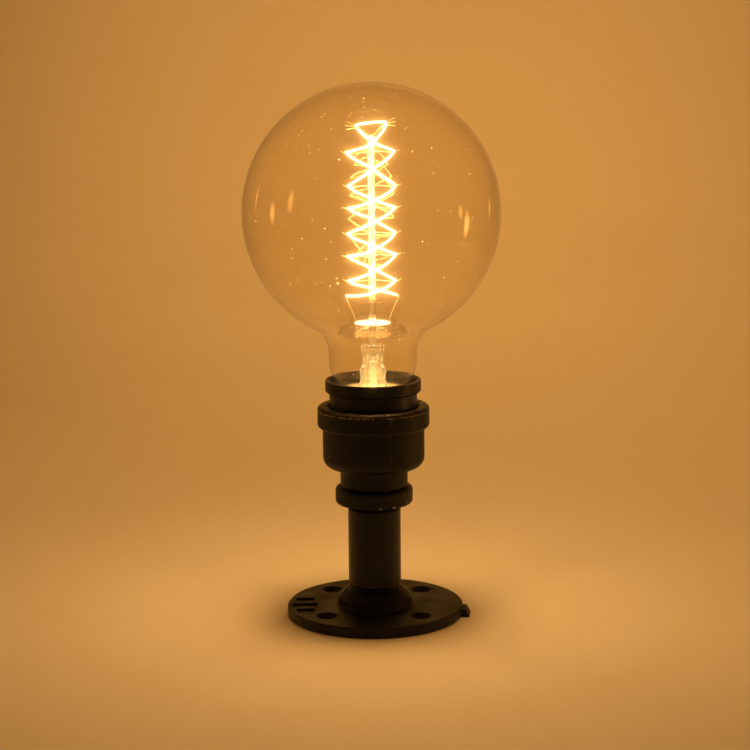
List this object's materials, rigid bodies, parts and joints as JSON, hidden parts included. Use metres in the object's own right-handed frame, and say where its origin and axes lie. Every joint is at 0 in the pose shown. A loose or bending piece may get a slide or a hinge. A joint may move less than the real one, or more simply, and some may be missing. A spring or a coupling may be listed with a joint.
{
  "type": "pipe wall light",
  "caption": "Wall light of a round screw flange, a short pipe and a bell reducer that holds a screw lampholder with a large lit globe bulb and a tall spiral filament.",
  "frame": {"origin": "centre of the flange's flat mounting face", "axes": "+Z from the mounting face along the pipe to the bulb, +X to the right and -Y to the viewer of the picture"},
  "size_m": [0.125, 0.125, 0.2619],
  "materials": {
    "cast_iron_black": "black semi-gloss paint over rough cast iron",
    "pipe_black": "black semi-gloss paint over drawn steel pipe",
    "phenolic_black": "moulded black phenolic, satin",
    "porcelain": "white glazed porcelain",
    "contact_brass": "bright pressed brass",
    "zinc_steel": "zinc plated steel",
    "insulation_brown": "brown wire insulation",
    "insulation_blue": "blue wire insulation",
    "sleeve_white": "white braided glass-fibre sleeve",
    "amber_glass": "thin clear glass with an amber tint",
    "clear_glass": "clear lamp glass",
    "lamp_wire": "drawn nickel and molybdenum wire",
    "mica": "pale mica sheet",
    "cap_metal": "rolled cap sheet, satin",
    "cement": "basing cement",
    "cap_glass_black": "black insulating glass",
    "solder": "dull solder",
    "glowing_filament": "lit filament, warm white"
  },
  "bodies": {
    "fixture": {"floor_flange": "cast_iron_black", "bell_reducer": "cast_iron_black", "pipe_nipple": "pipe_black", "grub_screws": "zinc_steel", "holder_base": "phenolic_black", "holder_skirt": "phenolic_black", "holder_core": "porcelain", "screw_shell": "contact_brass", "shell_rivets": "contact_brass", "contact_foot": "contact_brass", "contact_rivet": "contact_brass", "live_terminal": "contact_brass", "neutral_terminal": "contact_brass", "terminal_screws": "zinc_steel", "live_wire": "insulation_brown", "neutral_wire": "insulation_blue", "wire_sleeve": "sleeve_white", "wire_ferrules": "zinc_steel"},
    "contact_tongue": {"centre_contact": "contact_brass"},
    "bulb_tip": {"cap_contact": "solder"},
    "bulb": {"bulb_globe": "amber_glass", "bulb_stem": "clear_glass", "support_rod": "clear_glass", "support_hooks": "lamp_wire", "filament": "glowing_filament", "lead_in_wires": "lamp_wire", "heat_disc": "mica", "bulb_cap": "cap_metal", "cap_cement": "cement", "cap_insulator": "cap_glass_black"}
  },
  "joints": [
    {"name": "bulb_lift", "type": "slide", "parent": "fixture", "child": "bulb_tip", "axis": [0, 0, 1], "range_m": [0, 0.0128]},
    {"name": "bulb_turn", "type": "hinge", "parent": "bulb_tip", "child": "bulb", "pos_m": [0, 0, 0.1], "axis": [0, 0, 1], "range_deg": [0, 1260]},
    {"name": "contact_press", "type": "hinge", "parent": "fixture", "child": "contact_tongue", "pos_m": [-0.0054, 0, 0.08323], "axis": [0, 1, 0], "range_deg": [0, 5], "stiffness_Nm_per_rad": 0.2}
  ],
  "couplings": [
    {"joint": "bulb_lift", "follows": "bulb_turn", "m_per_rad": 0.00057757}
  ]
}
